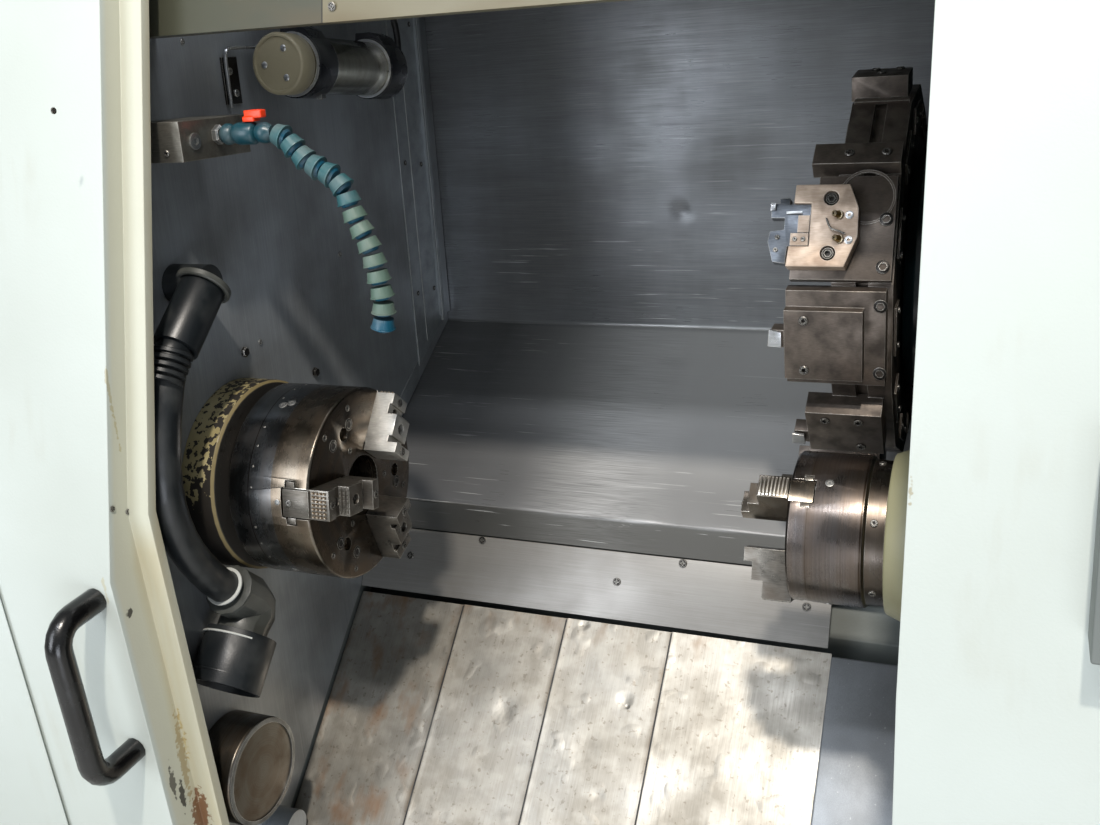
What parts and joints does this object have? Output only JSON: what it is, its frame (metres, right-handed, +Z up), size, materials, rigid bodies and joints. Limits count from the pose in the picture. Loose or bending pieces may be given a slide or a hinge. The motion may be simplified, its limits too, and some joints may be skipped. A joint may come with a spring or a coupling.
{
  "type": "cnc turning lathe",
  "caption": "Enclosed turning lathe: sliding front door, main chuck on the left, travelling sub spindle on the right, rear tool turret, a lamp, a coolant hose and sheet covers.",
  "frame": {"origin": "middle of the base on the floor, under the middle of the whole machine", "axes": "+X along the spindle axis from the main chuck towards the sub spindle, +Y away from the operator towards the rear cover, +Z up"},
  "size_m": [3.27, 1.7995, 1.9],
  "materials": {
    "cream_enamel": "aged semi-gloss enamel",
    "khaki_enamel": "aged enamel",
    "painted_casting": "painted casting",
    "dark_teal_enamel": "oily gloss enamel",
    "brushed_sheet": "brushed stainless sheet, worn",
    "ground_steel": "ground steel",
    "dark_steel": "oily dark steel",
    "tan_steel": "tan heat-tinted steel",
    "grey_steel": "grey tool steel",
    "black_rubber": "matt",
    "black_plastic": "gloss",
    "blue_plastic": "satin",
    "orange_plastic": "gloss",
    "red_plastic": "gloss",
    "clear_glass": "clear"
  },
  "bodies": {
    "base": {"bed": "painted_casting", "chip_tray": "dark_teal_enamel", "front_apron": "cream_enamel", "front_cover_left": "cream_enamel", "front_cover_right": "cream_enamel", "end_cover_left": "cream_enamel", "end_cover_right": "cream_enamel", "rear_cover": "cream_enamel", "roof_cover": "cream_enamel", "door_header": "khaki_enamel", "chamber_wall_left": "brushed_sheet", "chamber_wall_right": "brushed_sheet", "chip_strip": "brushed_sheet", "way_cover_1": "brushed_sheet", "headstock": "painted_casting", "nose_ring": "cream_enamel", "spindle_motor": "painted_casting", "drive_belt": "black_rubber", "key_panel": "painted_casting", "screen_panel": "painted_casting", "lamp_cap": "khaki_enamel", "lamp_tube": "clear_glass", "lamp_clamp_front": "black_plastic", "lamp_clamp_rear": "black_plastic", "lamp_cable": "black_rubber", "coolant_block": "ground_steel", "coolant_valve": "blue_plastic", "duct_coupling": "black_rubber", "duct_hose": "black_rubber", "duct_elbow": "painted_casting", "duct_collar": "black_rubber", "round_cover": "ground_steel"},
    "sliding_door": {"door": "cream_enamel", "door_window": "clear_glass", "door_handle": "black_plastic"},
    "spindle": {"main_spindle": "ground_steel", "main_chuck": "ground_steel"},
    "jaw_1": {"main_jaw_1": "ground_steel"},
    "jaw_2": {"main_jaw_2": "ground_steel"},
    "jaw_3": {"main_jaw_3": "ground_steel"},
    "motor_shaft": {"motor_pulley": "dark_steel"},
    "saddle": {"sub_saddle": "dark_teal_enamel", "sub_headstock": "cream_enamel", "way_cover_4": "brushed_sheet"},
    "sub_spindle": {"sub_chuck": "ground_steel"},
    "sub_jaw_a": {"sub_jaw_1": "ground_steel"},
    "sub_jaw_b": {"sub_jaw_2": "ground_steel"},
    "sub_jaw_c": {"sub_jaw_3": "ground_steel"},
    "cover_2": {"way_cover_2": "brushed_sheet"},
    "cover_3": {"way_cover_3": "brushed_sheet"},
    "turret_carriage": {"carriage": "dark_teal_enamel", "carriage_shield": "brushed_sheet"},
    "cross_slide": {"turret_slide": "dark_teal_enamel"},
    "turret": {"turret_disc": "dark_steel", "tool_block": "tan_steel", "cutting_tool": "grey_steel"},
    "lever": {"valve_lever": "orange_plastic"},
    "hose": {"coolant_hose": "blue_plastic"},
    "stop_button": {"emergency_stop": "red_plastic"},
    "dial": {"feed_dial": "black_plastic"}
  },
  "joints": [
    {"name": "door_slide", "type": "slide", "parent": "base", "child": "sliding_door", "axis": [1, 0, 0], "range_m": [0, 0.86]},
    {"name": "main_spindle_turn", "type": "hinge", "parent": "base", "child": "spindle", "pos_m": [-0.365, -0.52019, 1.05], "axis": [1, 0, 0], "continuous": true},
    {"name": "main_jaw_1_slide", "type": "slide", "parent": "spindle", "child": "jaw_1", "axis": [0, -0.9903, 0.1392], "range_m": [-0.0044, 0.0044]},
    {"name": "main_jaw_2_slide", "type": "slide", "parent": "spindle", "child": "jaw_2", "axis": [0, 0.6157, 0.788], "range_m": [-0.0044, 0.0044]},
    {"name": "main_jaw_3_slide", "type": "slide", "parent": "spindle", "child": "jaw_3", "axis": [0, 0.3746, -0.9272], "range_m": [-0.0044, 0.0044]},
    {"name": "motor_turn", "type": "hinge", "parent": "base", "child": "motor_shaft", "pos_m": [-1.315, -0.10019, 0.75], "axis": [1, 0, 0], "continuous": true},
    {"name": "saddle_slide", "type": "slide", "parent": "base", "child": "saddle", "axis": [1, 0, 0], "range_m": [-0.38, 0.1]},
    {"name": "sub_spindle_turn", "type": "hinge", "parent": "saddle", "child": "sub_spindle", "pos_m": [0.208, -0.52019, 1.05], "axis": [1, 0, 0], "continuous": true},
    {"name": "sub_jaw_1_slide", "type": "slide", "parent": "sub_spindle", "child": "sub_jaw_a", "axis": [0, -0.6428, 0.766], "range_m": [-0.00275, 0.00275]},
    {"name": "sub_jaw_2_slide", "type": "slide", "parent": "sub_spindle", "child": "sub_jaw_b", "axis": [0, 0.9848, 0.1736], "range_m": [-0.00275, 0.00275]},
    {"name": "sub_jaw_3_slide", "type": "slide", "parent": "sub_spindle", "child": "sub_jaw_c", "axis": [0, -0.342, -0.9397], "range_m": [-0.00275, 0.00275]},
    {"name": "way_cover_2_slide", "type": "slide", "parent": "base", "child": "cover_2", "axis": [1, 0, 0], "range_m": [-0.128, 0.035]},
    {"name": "way_cover_3_slide", "type": "slide", "parent": "base", "child": "cover_3", "axis": [1, 0, 0], "range_m": [-0.255, 0.068]},
    {"name": "carriage_slide", "type": "slide", "parent": "base", "child": "turret_carriage", "axis": [1, 0, 0], "range_m": [-0.42, 0.1]},
    {"name": "turret_cross_slide", "type": "slide", "parent": "turret_carriage", "child": "cross_slide", "axis": [0, -0.8572, -0.515], "range_m": [0, 0.05]},
    {"name": "turret_turn", "type": "hinge", "parent": "cross_slide", "child": "turret", "pos_m": [0.255, -0.1559, 1.26889], "axis": [1, 0, 0], "continuous": true},
    {"name": "valve_lever_turn", "type": "hinge", "parent": "base", "child": "lever", "pos_m": [-0.423, -0.57619, 1.5214], "axis": [0, 0, 1], "range_deg": [0, 90]},
    {"name": "coolant_hose_swivel", "type": "hinge", "parent": "base", "child": "hose", "pos_m": [-0.3947, -0.57619, 1.508], "axis": [1, 0, 0], "range_deg": [-20, 20]},
    {"name": "emergency_stop_press", "type": "slide", "parent": "base", "child": "stop_button", "axis": [0, 0.9763, -0.2164], "range_m": [0, 0.005], "stiffness_N_per_m": 1000},
    {"name": "feed_dial_turn", "type": "hinge", "parent": "base", "child": "dial", "pos_m": [0.79, -0.83161, 1.1775], "axis": [0, -0.9763, 0.2164], "range_deg": [-140, 140]}
  ],
  "couplings": [
    {"joint": "main_jaw_2_slide", "follows": "main_jaw_1_slide", "ratio": 1},
    {"joint": "main_jaw_3_slide", "follows": "main_jaw_1_slide", "ratio": 1},
    {"joint": "sub_jaw_2_slide", "follows": "sub_jaw_1_slide", "ratio": 1},
    {"joint": "sub_jaw_3_slide", "follows": "sub_jaw_1_slide", "ratio": 1},
    {"joint": "motor_turn", "follows": "main_spindle_turn", "ratio": 1.7692},
    {"joint": "way_cover_2_slide", "follows": "saddle_slide", "ratio": 0.33333},
    {"joint": "way_cover_3_slide", "follows": "saddle_slide", "ratio": 0.66667}
  ]
}
